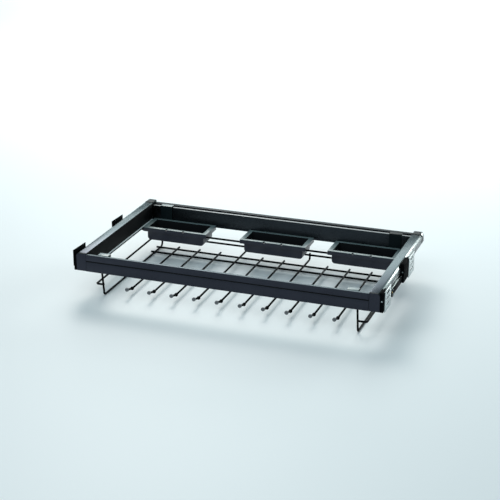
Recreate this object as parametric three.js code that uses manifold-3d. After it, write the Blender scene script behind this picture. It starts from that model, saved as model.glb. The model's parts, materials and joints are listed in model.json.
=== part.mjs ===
// A pull out trouser rack for a wardrobe: an aluminium frame between two telescopic slides, with a
// hanging wire grid of trouser rods and three loose trays that rest on its rear ledge.
// Millimetres, +Z up, +X to the right, and the rack pulls out towards -Y.
// The origin is the middle of the rack's box, on the plane that the wire grid stands on.
import * as THREE from "three";
import { mergeVertices } from "three/addons/utils/BufferGeometryUtils.js";
import Module from "manifold-3d";

const wasm = await Module();
wasm.setup();

// Driving sizes of the whole rack
const frameWidth = 842;
const frameDepth = 480;
const railHeight = 50;
const gridDrop = 125.6;
const wireDiameter = 5.6;
const fitGap = 0.3;
const runningGap = 0.4;
const edgeChamfer = 0.8;
const cutOverrun = 5;

const frameFront = -frameDepth / 2;
const frameTop = gridDrop + wireDiameter / 2;
const railBottom = frameTop - railHeight;
const wireStep = wireDiameter + fitGap;

// Side rails: a hood over the slide, with a round outer shoulder and skirt, and a tall inner wall
// with a lip at its foot
const sideRailWidth = 28.5;
const sideSkirtDrop = 25.5;
const shoulderRadius = 8;
const sideOuterWall = 2.2;
const sideInnerWall = 3;
const sideLip = 7;
const lipSheet = 3;

// Caps at the frame's corners
const frontCapDepth = 6;
const rearCapDepth = 26.7;
const rearCapRise = 0.6;

// Front rail: a slim box with a groove along its face and a lip at its foot
const frontRailDepth = 8.5;
const frontRailDrop = 2.5;
const frontRailWall = 2;
const frontRailLip = 4.5;
const frontLipSheet = 2.5;
const grooveBelowTop = 17;
const grooveHeight = 3;
const grooveDepth = 1.2;

// Rear rail: an open channel with flanges along its top and a ledge in front for the trays
const rearRailEndInset = 0.5;
const rearRailDepth = 30.5;
const rearInnerFlange = 9;
const rearOuterFlange = 14;
const rearInnerDrop = 6.5;
const rearOuterDrop = 5;
const rearRailWall = 3;
const rearRailBase = 2.6;
const rearFlangeSheet = 2.4;
const rearLedge = 7.5;
const rearLedgeSheet = 3;

// Clips that hang the wire grid on the front and rear rails
const frontClipWidth = 31;
const frontClipDepth = 19.2;
const frontClipHeight = 18;
const frontClipDrop = 2;
const clipOutboard = 4.5;
const rearClipWidth = 36;
const rearClipOutboard = 7.5;
const rearClipPlate = 2.7;
const rearClipStrap = 3;
const rearClipHook = 4.7;
const rearClipHookDrop = 7;
const rearClipFootReach = 10.4;
const rearClipFootHeight = 11.7;

// Wires of the hanging grid
const rodCount = 10;
const sideWireInset = 63.5;
const rodsOutsideLongCount = 3;
const rodRearMargin = 67;
const rodFrontInset = 73.5;
const frontLegTopInset = 18.6;
const frontLegFootInset = 34;
const rearLegTopInset = 38.5;
const rearLegFootInset = 45;
const frontLegBend = 9;
const rearLegBend = 12;
const frontCrossMargin = 114;
const rearCrossMargin = 73;
const crossWireOverhang = 6;
const rearWireHeight = 30.4;
const longRodTop = 34.4;
const longRodBend = 8;
const outerWireHeight = 31.4;
const outerWireReach = 23;
const outerWireBend = 5.5;
const trayWireMargin = 115.5;
const trayWireSeat = 25.5;
const wireSides = 12;
const bendSteps = 5;

// Rod tips: a collar pushed on the rod, and a neck that rises to a ball
const collarInset = 71;
const collarLength = 5;
const collarDiameter = 10;
const collarSocketDepth = 2.8;
const neckDiameter = 6;
const neckStart = 1.2;
const ballDiameter = 11.3;
const ballInset = 40;
const ballRise = 9.1;
const tipSides = 12;
const ballRings = 8;

// Trays
const trayLeftMargin = 37;
const trayLeftGap = 103.5;
const trayRightGap = 64.5;
const trayRightMargin = 49;
const trayDepth = 86.2;
const trayRearGap = 3.8;
const trayHeight = 39;
const trayWall = 2.4;
const trayRimSheet = 2.7;
const traySideRim = 13;
const trayTubInset = 8.3;
const trayTubEnd = 44;
const traySkirt = 11.5;
const trayFrontSkirt = 12;
const trayCornerRadius = 9;
const cornerSteps = 5;

// Telescopic slides inside the side rails' hoods
const slideHeight = 19;
const slideDrop = 24;
const cabinetSheet = 1.5;
const middleSheet = 1.2;
const drawerSheet = 1.5;
const drawerFlange = 1.2;
const cabinetMemberWidth = 9.3;
const slideFrontInset = 6.3;
const slideRearInset = 2;
const slideShortfall = 31.7;
const middleMemberInset = 8;
const slideEndRadius = 7;

// Brackets and plates that carry the slides on the cabinet's sides, with an arm under each hood
const wallGap = 11;
const plateSheet = 1.5;
const bracketSheet = 2;
const leftBracketRise = 6.3;
const leftBracketFall = 3;
const leftBodyDrop = 10;
const leftSheetDrop = 38.6;
const leftFootStep = 2.2;
const leftFrontLength = 74;
const leftRearInset = 245;
const leftRearLength = 72;
const rightBracketRise = 3.2;
const rightBracketLap = 3;
const rightBracketChamfer = 4;
const rightFrontLength = 30;
const rightRearLength = 54;
const plateRise = 2.5;
const plateDrop = 53;
const frontPlateInset = 10;
const frontPlateLength = 60;
const rearPlateLap = 7;
const rearPlateLength = 60;
const slotLength = 28;
const slotWidth = 5;
const slotPitch = 14.6;
const slotBelowTop = 9;
const slotCount = 3;

// Soft close dampers beside the slides
const damperInset = 100;
const damperLength = 112.7;
const damperHeight = 21;
const damperWidth = 4.6;
const damperFoot = 4;
const damperFootInset = 12;
const damperFootLength = 10;
const damperNose = 8;

// Heights
const sideWireZ = wireDiameter / 2;
const crossWireZ = sideWireZ + wireStep;
const rodZ = crossWireZ + wireStep;
const trayWireZ = railBottom - wireStep + wireDiameter / 2;
const frontLegTopZ = frameTop - frontClipDrop - frontClipHeight - 2 * fitGap;
const rearClipFootZ = railBottom - fitGap - rearClipFootHeight;
const rearLegTopZ = rearClipFootZ - fitGap;
const skirtBottom = frameTop - sideSkirtDrop;
const armTop = skirtBottom - runningGap;
const slideTop = frameTop - slideDrop;
const slideBottom = slideTop - slideHeight;
const trayTop = railBottom + rearLedgeSheet + fitGap + trayRimSheet;

// Places across and along the rack
const sideWireX = frameWidth / 2 - sideWireInset;
const rodPitch = 2 * sideWireX / (rodCount + 1);
const longRods = [rodsOutsideLongCount + 1, rodCount - rodsOutsideLongCount];
const rearRailBack = -frameFront - rearRailEndInset;
const rearRailFace = rearRailBack - rearRailDepth;
const rightRearInset = damperInset + damperLength + fitGap;
const rearPlateInset = rightRearInset + rightRearLength - rearPlateLap;
const trayRear = rearRailFace - trayRearGap;
const trayFront = trayRear - trayDepth;
const trayGaps = trayLeftMargin + trayLeftGap + trayRightGap + trayRightMargin;
const trayWidth = (frameWidth - trayGaps) / 3;
const trayCentres = {
  left: -frameWidth / 2 + trayLeftMargin + trayWidth / 2,
  middle: -frameWidth / 2 + trayLeftMargin + trayLeftGap + 1.5 * trayWidth,
  right: frameWidth / 2 - trayRightMargin - trayWidth / 2,
};

// Outward places, measured from the frame's side face
const drawerOut = sideInnerWall - sideRailWidth + fitGap;
const cabinetOut = drawerOut + fitGap;
const cabinetBack = cabinetOut + cabinetMemberWidth;
const armInner = cabinetBack + fitGap;
const plateOuter = wallGap;
const plateInner = plateOuter - plateSheet;
const bracketOuter = plateInner - fitGap;
const bracketInner = bracketOuter - bracketSheet;

// Lengths of the slides' members
const cabinetMemberLength = frameDepth - slideFrontInset - slideRearInset;
const middleMemberLength = cabinetMemberLength - slideShortfall;
const drawerMemberLength = cabinetMemberLength - slideShortfall;

const anodised = { color: 0x2c2f38, roughness: 0.38, metalness: 0.7 };
const blackWire = { color: 0x141517, roughness: 0.35, metalness: 0.3 };
const blackPlastic = { color: 0x1b1c20, roughness: 0.5, metalness: 0 };
const greyPlastic = { color: 0x4a4d52, roughness: 0.5, metalness: 0 };
const zincSteel = { color: 0xc9ced0, roughness: 0.3, metalness: 0.9 };

const rack = new THREE.Group();

function addPart(name, geometry, look) {
  geometry.computeVertexNormals();
  const part = new THREE.Mesh(geometry, new THREE.MeshStandardMaterial(look));
  part.name = name;
  rack.add(part);
}

// Turns a closed geometry into a solid for cutting and joining
function solidOf(geometry) {
  const bare = geometry.clone();
  bare.deleteAttribute("normal");
  bare.deleteAttribute("uv");
  const merged = mergeVertices(bare);
  const corners = merged.index.array;
  const triangles = [];
  for (let i = 0; i < corners.length; i += 3) {
    const [a, b, c] = corners.subarray(i, i + 3);
    if (a !== b && b !== c && c !== a) {
      triangles.push(a, b, c);
    }
  }
  return new wasm.Manifold(new wasm.Mesh({
    numProp: 3,
    vertProperties: merged.getAttribute("position").array,
    triVerts: Uint32Array.from(triangles),
  }));
}

function geometryOf(solid) {
  const { vertProperties, triVerts } = solid.getMesh();
  const geometry = new THREE.BufferGeometry();
  geometry.setAttribute("position", new THREE.BufferAttribute(vertProperties, 3));
  geometry.setIndex(new THREE.BufferAttribute(triVerts, 1));
  return geometry;
}

function joined(...geometries) {
  return geometryOf(geometries.map(solidOf).reduce((whole, piece) => whole.add(piece)));
}

function cut(geometry, ...tools) {
  return geometryOf(tools.map(solidOf).reduce((whole, tool) => whole.subtract(tool), solidOf(geometry)));
}

function outline(points) {
  return new THREE.Shape(points.map(([u, v]) => new THREE.Vector2(u, v)));
}

function rectangle(u0, v0, u1, v1) {
  return outline([[u0, v0], [u1, v0], [u1, v1], [u0, v1]]);
}

// A section in (Y, Z), carried along X
function alongX(shape, x0, x1) {
  const geometry = new THREE.ExtrudeGeometry(shape, { depth: x1 - x0, bevelEnabled: false });
  geometry.applyMatrix4(new THREE.Matrix4().set(0, 0, 1, x0, 1, 0, 0, 0, 0, 1, 0, 0, 0, 0, 0, 1));
  return geometry;
}

// A section in (X, Z), carried along Y
function alongY(shape, y0, y1) {
  const geometry = new THREE.ExtrudeGeometry(shape, { depth: y1 - y0, bevelEnabled: false });
  geometry.rotateX(Math.PI / 2);
  geometry.translate(0, y1, 0);
  return geometry;
}

// A section in (X, Y), carried along Z
function alongZ(shape, z0, z1) {
  const geometry = new THREE.ExtrudeGeometry(shape, { depth: z1 - z0, bevelEnabled: false });
  geometry.translate(0, 0, z0);
  return geometry;
}

function box(x0, x1, y0, y1, z0, z1) {
  return alongZ(rectangle(x0, y0, x1, y1), z0, z1);
}

// A section in (X, Z), carried along Y, with chamfered front and rear edges
function chamfered(shape, y0, y1) {
  const geometry = new THREE.ExtrudeGeometry(shape, {
    depth: y1 - y0 - 2 * edgeChamfer,
    bevelEnabled: true,
    bevelSegments: 1,
    bevelSize: edgeChamfer,
    bevelThickness: edgeChamfer,
    bevelOffset: -edgeChamfer,
  });
  geometry.rotateX(Math.PI / 2);
  geometry.translate(0, y1 - edgeChamfer, 0);
  return geometry;
}

function chamferedBlock(x0, x1, y0, y1, z0, z1) {
  return chamfered(rectangle(x0, z0, x1, z1), y0, y1);
}

// A round section whose flats lie on its diameter, so that a wire rests on a flat
function roundSection(diameter, sides) {
  const radius = diameter / 2 / Math.cos(Math.PI / sides);
  return outline(Array.from({ length: sides }, (_, i) => {
    const turn = (i + 0.5) * 2 * Math.PI / sides;
    return [Math.cos(turn) * radius, Math.sin(turn) * radius];
  }));
}

// The centre line of a bent wire: straight runs between corners, with a round bend at each corner
class WireLine extends THREE.Curve {
  constructor(corners, bends) {
    super();
    this.stations = [];
    const at = corners.map((corner) => new THREE.Vector3(...corner));
    at.forEach((point, i) => {
      const before = i > 0 ? point.clone().sub(at[i - 1]).normalize() : null;
      const after = i < at.length - 1 ? at[i + 1].clone().sub(point).normalize() : null;
      if (before && after) {
        this.addBend(point, before, after, bends[i - 1]);
      } else {
        this.stations.push({ point, along: before || after });
      }
    });
  }

  addBend(corner, before, after, bend) {
    const turn = before.angleTo(after);
    const inward = after.clone().addScaledVector(before, -before.dot(after)).normalize();
    const centre = corner.clone().addScaledVector(before, -bend * Math.tan(turn / 2));
    centre.addScaledVector(inward, bend);
    for (let step = 0; step <= bendSteps; step += 1) {
      const angle = turn * step / bendSteps;
      const point = centre.clone().addScaledVector(inward, -bend * Math.cos(angle));
      point.addScaledVector(before, bend * Math.sin(angle));
      const along = before.clone().multiplyScalar(Math.cos(angle)).addScaledVector(inward, Math.sin(angle));
      this.stations.push({ point, along });
    }
  }

  get steps() {
    return this.stations.length - 1;
  }

  getPointAt(share) {
    return this.stations[Math.round(share * this.steps)].point.clone();
  }

  getTangentAt(share) {
    return this.stations[Math.round(share * this.steps)].along.clone();
  }
}

function wire(name, corners, bends) {
  const line = new WireLine(corners, bends);
  const geometry = new THREE.ExtrudeGeometry(roundSection(wireDiameter, wireSides), {
    steps: line.steps,
    extrudePath: line,
    bevelEnabled: false,
  });
  addPart(name, geometry, blackWire);
}

function nameOf(side) {
  return side < 0 ? "left" : "right";
}

// The outward places a and b beside the frame, as low and high x
function beside(side, a, b) {
  const near = side * (frameWidth / 2 + a);
  const far = side * (frameWidth / 2 + b);
  return [Math.min(near, far), Math.max(near, far)];
}

// A section whose first measure runs outwards from the frame's side face
function sideShape(side, points) {
  return outline(points.map(([out, v]) => [side * (frameWidth / 2 + out), v]));
}

// The round shoulder at a side rail's outer top edge, from its top to its side
function shoulder(radius, top) {
  return Array.from({ length: cornerSteps + 1 }, (_, step) => {
    const turn = (1 - step / cornerSteps) * Math.PI / 2;
    return [radius * Math.cos(turn) - shoulderRadius, top - shoulderRadius + radius * Math.sin(turn)];
  });
}

// A hood over the slide: an inner wall with the given foot, a top, a round shoulder and a skirt
function hood(side, top, foot) {
  const inner = -sideRailWidth;
  return sideShape(side, [
    [inner + sideInnerWall, railBottom],
    ...foot,
    [inner, top - edgeChamfer],
    [inner + edgeChamfer, top],
    ...shoulder(shoulderRadius, top),
    [0, skirtBottom],
    [-sideOuterWall, skirtBottom],
    ...shoulder(shoulderRadius - sideOuterWall, top).reverse(),
    [inner + sideInnerWall, top - sideOuterWall],
  ]);
}

function sideRail(side) {
  const inner = -sideRailWidth;
  const lipTop = railBottom + lipSheet;
  const front = frameFront + frontCapDepth + fitGap;
  const rear = -frameFront - rearCapDepth - fitGap;
  const shape = hood(side, frameTop, [[inner - sideLip, railBottom], [inner - sideLip, lipTop], [inner, lipTop]]);
  const [x0, x1] = beside(side, inner - sideLip - cutOverrun, inner);
  const lipFront = frameFront + frontRailDepth + frontRailLip + fitGap;
  const lipRear = rearRailFace - rearLedge - fitGap;
  addPart(`${nameOf(side)}_side_rail`, cut(
    alongY(shape, front, rear),
    box(x0, x1, front - cutOverrun, lipFront, railBottom - cutOverrun, lipTop + cutOverrun),
    box(x0, x1, lipRear, rear + cutOverrun, railBottom - cutOverrun, lipTop + cutOverrun),
  ), anodised);
}

// The front cap closes the hood, and the rear cap is open below for the slide
function cornerCaps(side) {
  const inner = -sideRailWidth;
  const face = sideShape(side, [
    [inner, railBottom],
    [inner, frameTop],
    ...shoulder(shoulderRadius, frameTop),
    [0, railBottom],
  ]);
  addPart(`${nameOf(side)}_front_cap`, chamfered(face, frameFront, frameFront + frontCapDepth), anodised);
  const shape = hood(side, frameTop + rearCapRise, [[inner, railBottom]]);
  addPart(`${nameOf(side)}_rear_cap`, alongY(shape, -frameFront - rearCapDepth, -frameFront), blackPlastic);
}

function frontRail() {
  const top = frameTop - frontRailDrop;
  const back = frameFront + frontRailDepth;
  const grooveTop = top - grooveBelowTop;
  const grooveBottom = grooveTop - grooveHeight;
  const lipTop = railBottom + frontLipSheet;
  const shape = outline([
    [frameFront, railBottom],
    [back + frontRailLip, railBottom],
    [back + frontRailLip, lipTop],
    [back, lipTop],
    [back, top],
    [frameFront + edgeChamfer, top],
    [frameFront, top - edgeChamfer],
    [frameFront, grooveTop],
    [frameFront + grooveDepth, grooveTop],
    [frameFront + grooveDepth, grooveBottom],
    [frameFront, grooveBottom],
  ]);
  const chamberFront = frameFront + grooveDepth + frontRailWall;
  const chamber = rectangle(chamberFront, railBottom + frontRailWall, back - frontRailWall, top - frontRailWall);
  const end = frameWidth / 2 - sideRailWidth - fitGap;
  addPart("front_rail", cut(
    alongX(shape, -end, end),
    alongX(chamber, -end - cutOverrun, end + cutOverrun),
  ), anodised);
}

function rearRail() {
  const face = rearRailFace;
  const back = rearRailBack;
  const floor = railBottom + rearRailBase;
  const innerTop = frameTop - rearInnerDrop;
  const outerTop = frameTop - rearOuterDrop;
  const ledgeTop = railBottom + rearLedgeSheet;
  const shape = outline([
    [face - rearLedge, railBottom],
    [back, railBottom],
    [back, outerTop],
    [back - rearOuterFlange, outerTop],
    [back - rearOuterFlange, outerTop - rearFlangeSheet],
    [back - rearRailWall, outerTop - rearFlangeSheet],
    [back - rearRailWall, floor],
    [face + rearRailWall, floor],
    [face + rearRailWall, innerTop - rearFlangeSheet],
    [face + rearInnerFlange, innerTop - rearFlangeSheet],
    [face + rearInnerFlange, innerTop],
    [face, innerTop],
    [face, ledgeTop],
    [face - rearLedge, ledgeTop],
  ]);
  const end = frameWidth / 2 - sideRailWidth - fitGap;
  const notches = [-1, 1].map((side) => {
    const outer = side * (sideWireX + rearClipOutboard + fitGap);
    const inner = side * (sideWireX + rearClipOutboard - rearClipWidth - fitGap);
    return box(Math.min(outer, inner), Math.max(outer, inner), face - rearLedge - cutOverrun, face,
      railBottom - cutOverrun, ledgeTop + cutOverrun);
  });
  addPart("rear_rail", cut(alongX(shape, -end, end), ...notches), anodised);
}

// The block behind the front rail that the top of the grid's front leg screws into
function frontClip(side) {
  const outer = side * (sideWireX + clipOutboard);
  const inner = side * (sideWireX + clipOutboard - frontClipWidth);
  const front = frameFront + frontRailDepth + fitGap;
  const top = frameTop - frontClipDrop;
  const block = chamferedBlock(Math.min(outer, inner), Math.max(outer, inner), front,
    front + frontClipDepth, top - frontClipHeight, top);
  addPart(`${nameOf(side)}_front_clip`, block, blackPlastic);
}

// The strap that hooks over the rear rail's inner flange and holds the grid's rear leg under the ledge
function rearClip(side) {
  const seat = frameTop - rearInnerDrop + fitGap;
  const back = rearRailFace - fitGap;
  const front = back - rearClipStrap;
  const footFront = back - rearClipFootReach;
  const footTop = rearClipFootZ + rearClipFootHeight;
  const hookFront = rearRailFace + rearInnerFlange + fitGap;
  const shape = outline([
    [footFront, rearClipFootZ],
    [back, rearClipFootZ],
    [back, seat],
    [hookFront, seat],
    [hookFront, seat - rearClipHookDrop],
    [hookFront + rearClipHook, seat - rearClipHookDrop],
    [hookFront + rearClipHook, seat + rearClipPlate],
    [front, seat + rearClipPlate],
    [front, footTop],
    [footFront, footTop],
  ]);
  const outer = side * (sideWireX + rearClipOutboard);
  const inner = side * (sideWireX + rearClipOutboard - rearClipWidth);
  const clip = alongX(shape, Math.min(outer, inner), Math.max(outer, inner));
  addPart(`${nameOf(side)}_rear_clip`, clip, blackPlastic);
}

// The places along the rack of the grid's leaning legs, at a given height
function frontLegY(z) {
  const share = (z - sideWireZ) / (frontLegTopZ - sideWireZ);
  return frameFront + frontLegFootInset + share * (frontLegTopInset - frontLegFootInset);
}

function rearLegY(z) {
  const share = (z - sideWireZ) / (rearLegTopZ - sideWireZ);
  return -frameFront - rearLegFootInset - share * (rearLegTopInset - rearLegFootInset);
}

// A wire that drops from the front clip, runs back under the rods and rises to the rear clip
function sideWire(side) {
  const x = side * sideWireX;
  wire(`${nameOf(side)}_side_wire`, [
    [x, frontLegY(frontLegTopZ), frontLegTopZ],
    [x, frontLegY(sideWireZ), sideWireZ],
    [x, rearLegY(sideWireZ), sideWireZ],
    [x, rearLegY(rearLegTopZ), rearLegTopZ],
  ], [frontLegBend, rearLegBend]);
}

// The guard wire outside each side wire, welded behind its front leg and before its rear leg
function outerWire(side) {
  const start = side * sideWireX;
  const run = side * (sideWireX + outerWireReach);
  const z = outerWireHeight;
  const front = frontLegY(z) + wireStep;
  const rear = rearLegY(z) - wireStep;
  wire(`${nameOf(side)}_outer_wire`, [
    [start, front, z],
    [run, front, z],
    [run, rear, z],
    [start, rear, z],
  ], [outerWireBend, outerWireBend]);
}

function crossWires() {
  const reach = sideWireX + crossWireOverhang;
  const across = (name, end, y, z) => wire(name, [[-end, y, z], [end, y, z]], []);
  across("front_cross_wire", reach, -frameFront - frontCrossMargin, crossWireZ);
  across("rear_cross_wire", reach, -frameFront - rearCrossMargin, crossWireZ);
  across("grid_rear_wire", reach, rearLegY(rearWireHeight) + wireStep, rearWireHeight);
  across("tray_wire", frameWidth / 2 - trayWireSeat, -frameFront - trayWireMargin, trayWireZ);
}

function trouserRod(number) {
  const x = (number - (rodCount + 1) / 2) * rodPitch;
  const start = [x, frameFront + rodFrontInset, rodZ];
  if (longRods.includes(number)) {
    const upright = rearLegY(rearWireHeight) + 2 * wireStep;
    wire(`trouser_rod_${number}`, [start, [x, upright, rodZ], [x, upright, longRodTop]], [longRodBend]);
  } else {
    wire(`trouser_rod_${number}`, [start, [x, -frameFront - rodRearMargin, rodZ]], []);
  }
  rodTip(number, x);
}

// A turned piece whose axis starts at the origin and runs along +Y
function turned(profile) {
  const points = profile.map(([radius, length]) => new THREE.Vector2(radius, length));
  return new THREE.LatheGeometry(points, tipSides);
}

function rodTip(number, x) {
  const bore = wireDiameter / 2 + fitGap;
  const rim = collarDiameter / 2;
  const mouth = collarLength;
  const collar = turned([
    [0, 0],
    [rim - edgeChamfer, 0],
    [rim, edgeChamfer],
    [rim, mouth - edgeChamfer],
    [rim - edgeChamfer, mouth],
    [bore, mouth],
    [bore, mouth - collarSocketDepth],
    [0, mouth - collarSocketDepth],
  ]);
  const forward = collarInset + neckStart - ballInset;
  const reach = Math.hypot(forward, ballRise);
  const neck = turned([[0, 0], [neckDiameter / 2, 0], [neckDiameter / 2, reach], [0, reach]]);
  const ball = new THREE.SphereGeometry(ballDiameter / 2, tipSides, ballRings);
  ball.translate(0, reach, 0);
  for (const piece of [neck, ball]) {
    piece.rotateX(Math.PI - Math.atan2(ballRise, forward));
    piece.translate(0, neckStart, 0);
  }
  const tip = joined(collar, neck, ball);
  tip.translate(x, frameFront + collarInset, rodZ);
  addPart(`rod_tip_${number}`, tip, greyPlastic);
}

// The front view of a tray's tub, with round lower corners
function tubOutline(x, halfWidth, top, bottom, radius) {
  const points = [[x + halfWidth, top], [x - halfWidth, top]];
  const centres = [[x - halfWidth + radius, Math.PI], [x + halfWidth - radius, 1.5 * Math.PI]];
  for (const [centre, start] of centres) {
    for (let step = 0; step <= cornerSteps; step += 1) {
      const turn = start + step * Math.PI / 2 / cornerSteps;
      points.push([centre + radius * Math.cos(turn), bottom + radius + radius * Math.sin(turn)]);
    }
  }
  return outline(points);
}

// A tub with a rim: the rim's front bears on the tray wire and its rear on the rear rail's ledge
function tray(place, x) {
  const half = trayWidth / 2;
  const tubHalf = half - traySideRim + trayWall;
  const rimUnder = trayTop - trayRimSheet;
  const bottom = trayTop - trayHeight;
  const tubFront = trayFront + trayTubInset;
  const tubRear = -frameFront - trayTubEnd;
  const skirtFoot = trayTop - traySkirt;
  const skirtRear = rearRailFace - rearLedge - fitGap;
  const wireTop = trayWireZ + wireDiameter / 2 + fitGap;
  const under = rimUnder + fitGap;
  const rim = chamferedBlock(x - half, x + half, trayFront, trayRear, rimUnder, trayTop);
  const bearing = box(x - half, x + half, trayFront, tubFront + trayWall, wireTop, under);
  const apron = box(x - half, x + half, trayFront, trayFront + trayWall, trayTop - trayFrontSkirt, under);
  const skirts = [-half, half - trayWall].map((edge) => (
    box(x + edge, x + edge + trayWall, tubFront, skirtRear, skirtFoot, under)));
  const tub = alongY(tubOutline(x, tubHalf, under, bottom, trayCornerRadius), tubFront, tubRear);
  const hollow = alongY(
    tubOutline(x, tubHalf - trayWall, trayTop + cutOverrun, bottom + trayWall, trayCornerRadius - trayWall),
    tubFront + trayWall, tubRear - trayWall);
  addPart(`${place}_tray`, cut(joined(rim, bearing, apron, ...skirts, tub), hollow), blackPlastic);
}

// The tool that rounds one rear corner of a slide's end, upwards or downwards from height z
function roundingTool(x0, x1, y, z, way) {
  const points = [];
  for (let step = 0; step <= cornerSteps; step += 1) {
    const turn = step * Math.PI / 2 / cornerSteps;
    points.push([
      y - slideEndRadius + slideEndRadius * Math.cos(turn),
      z - way * slideEndRadius + way * slideEndRadius * Math.sin(turn),
    ]);
  }
  points.push([y - slideEndRadius, z + way * cutOverrun]);
  points.push([y + cutOverrun, z + way * cutOverrun]);
  points.push([y + cutOverrun, z - way * slideEndRadius]);
  return alongX(outline(points), x0, x1);
}

function slide(side) {
  const name = nameOf(side);
  const front = frameFront + slideFrontInset;
  const rear = front + cabinetMemberLength;
  const cabinet = sideShape(side, [
    [cabinetOut, slideBottom],
    [cabinetBack - edgeChamfer, slideBottom],
    [cabinetBack, slideBottom + edgeChamfer],
    [cabinetBack, slideTop - edgeChamfer],
    [cabinetBack - edgeChamfer, slideTop],
    [cabinetOut, slideTop],
    [cabinetOut, slideTop - cabinetSheet],
    [cabinetBack - cabinetSheet, slideTop - cabinetSheet],
    [cabinetBack - cabinetSheet, slideBottom + cabinetSheet],
    [cabinetOut, slideBottom + cabinetSheet],
  ]);
  const [x0, x1] = beside(side, cabinetOut - cutOverrun, cabinetBack + cutOverrun);
  addPart(`${name}_cabinet_member`, cut(
    alongY(cabinet, front, rear),
    roundingTool(x0, x1, rear, slideTop, 1),
    roundingTool(x0, x1, rear, slideBottom, -1),
  ), zincSteel);

  const middleTop = slideTop - cabinetSheet - runningGap;
  const middleBottom = slideBottom + cabinetSheet + runningGap;
  const middleOut = drawerOut + drawerSheet + runningGap;
  const middleBack = cabinetBack - cabinetSheet - runningGap;
  const middle = sideShape(side, [
    [middleOut, middleBottom],
    [middleBack, middleBottom],
    [middleBack, middleTop],
    [middleOut, middleTop],
    [middleOut, middleTop - middleSheet],
    [middleBack - middleSheet, middleTop - middleSheet],
    [middleBack - middleSheet, middleBottom + middleSheet],
    [middleOut, middleBottom + middleSheet],
  ]);
  const middleFront = front + middleMemberInset;
  addPart(`${name}_middle_member`, alongY(middle, middleFront, middleFront + middleMemberLength), zincSteel);

  const drawerTop = middleTop - middleSheet - runningGap;
  const drawerBottom = middleBottom + middleSheet + runningGap;
  const drawerBack = middleBack - middleSheet - runningGap;
  const drawer = sideShape(side, [
    [drawerOut, drawerBottom],
    [drawerBack, drawerBottom],
    [drawerBack, drawerBottom + drawerFlange],
    [drawerOut + drawerSheet, drawerBottom + drawerFlange],
    [drawerOut + drawerSheet, drawerTop - drawerFlange],
    [drawerBack, drawerTop - drawerFlange],
    [drawerBack, drawerTop],
    [drawerOut, drawerTop],
  ]);
  addPart(`${name}_drawer_member`, alongY(drawer, front, front + drawerMemberLength), zincSteel);
}

// The room that a bracket leaves for the front cap, which is closed down to its foot
function capRoom(side) {
  const [x0, x1] = beside(side, armInner - cutOverrun, runningGap);
  const capBack = frameFront + frontCapDepth + runningGap;
  return box(x0, x1, frameFront - cutOverrun, capBack, railBottom - cutOverrun, armTop + cutOverrun);
}

// On the left a thin sheet stands on a low body, and the sheet's top falls to the rear
function leftBracket(name, inset, length) {
  const front = frameFront + inset;
  const rear = front + length;
  const top = frameTop + leftBracketRise;
  const bodyTop = frameTop - leftBodyDrop;
  const sheetFoot = frameTop - leftSheetDrop;
  const shape = sideShape(-1, [
    [armInner, railBottom],
    [bracketOuter - leftFootStep, railBottom],
    [bracketOuter - leftFootStep, sheetFoot],
    [bracketOuter, sheetFoot],
    [bracketOuter, top],
    [bracketInner, top],
    [bracketInner, bodyTop],
    [runningGap, bodyTop],
    [runningGap, armTop],
    [armInner, armTop],
  ]);
  const [x0, x1] = beside(-1, bracketInner - fitGap, bracketOuter + cutOverrun);
  const slope = leftBracketFall / length;
  const wedge = outline([
    [front - cutOverrun, top + slope * cutOverrun],
    [rear + cutOverrun, top - leftBracketFall - slope * cutOverrun],
    [rear + cutOverrun, top + cutOverrun],
    [front - cutOverrun, top + cutOverrun],
  ]);
  addPart(name, cut(alongY(shape, front, rear), alongX(wedge, x0, x1), capRoom(-1)), blackPlastic);
}

// On the right a solid block stands beside the hood and laps over its shoulder, clear of the rear cap
function rightBracket(name, inset, length) {
  const top = frameTop + rightBracketRise;
  const lapBottom = frameTop + rearCapRise + runningGap;
  const shape = sideShape(1, [
    [armInner, railBottom],
    [bracketOuter, railBottom],
    [bracketOuter, top - rightBracketChamfer],
    [bracketOuter - rightBracketChamfer, top],
    [-rightBracketLap, top],
    [-rightBracketLap, lapBottom],
    [runningGap, lapBottom],
    [runningGap, armTop],
    [armInner, armTop],
  ]);
  const front = frameFront + inset;
  addPart(name, cut(alongY(shape, front, front + length), capRoom(1)), blackPlastic);
}

// A slotted plate that screws to the cabinet's side. On the right, where no bracket backs its rear
// edge, a flange turns in.
function wallPlate(side, place, inset, length) {
  const name = `${nameOf(side)}_${place}_plate`;
  const flange = side > 0;
  const front = frameFront + inset;
  const rear = front + length;
  const turnedIn = [[bracketInner, rear], [bracketInner, rear - plateSheet], [plateInner, rear - plateSheet]];
  const foot = flange ? turnedIn : [[plateInner, rear]];
  const top = frameTop + plateRise;
  const section = sideShape(side, [[plateInner, front], [plateOuter, front], [plateOuter, rear], ...foot]);
  const sheet = alongZ(section, frameTop - plateDrop, top);
  const [x0, x1] = beside(side, plateInner - fitGap, plateOuter + cutOverrun);
  const middle = (front + rear) / 2;
  const slots = Array.from({ length: slotCount }, (_, i) => {
    const z = top - slotBelowTop - i * slotPitch;
    return box(x0, x1, middle - slotLength / 2, middle + slotLength / 2, z - slotWidth / 2, z + slotWidth / 2);
  });
  addPart(name, cut(sheet, ...slots), zincSteel);
}

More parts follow.
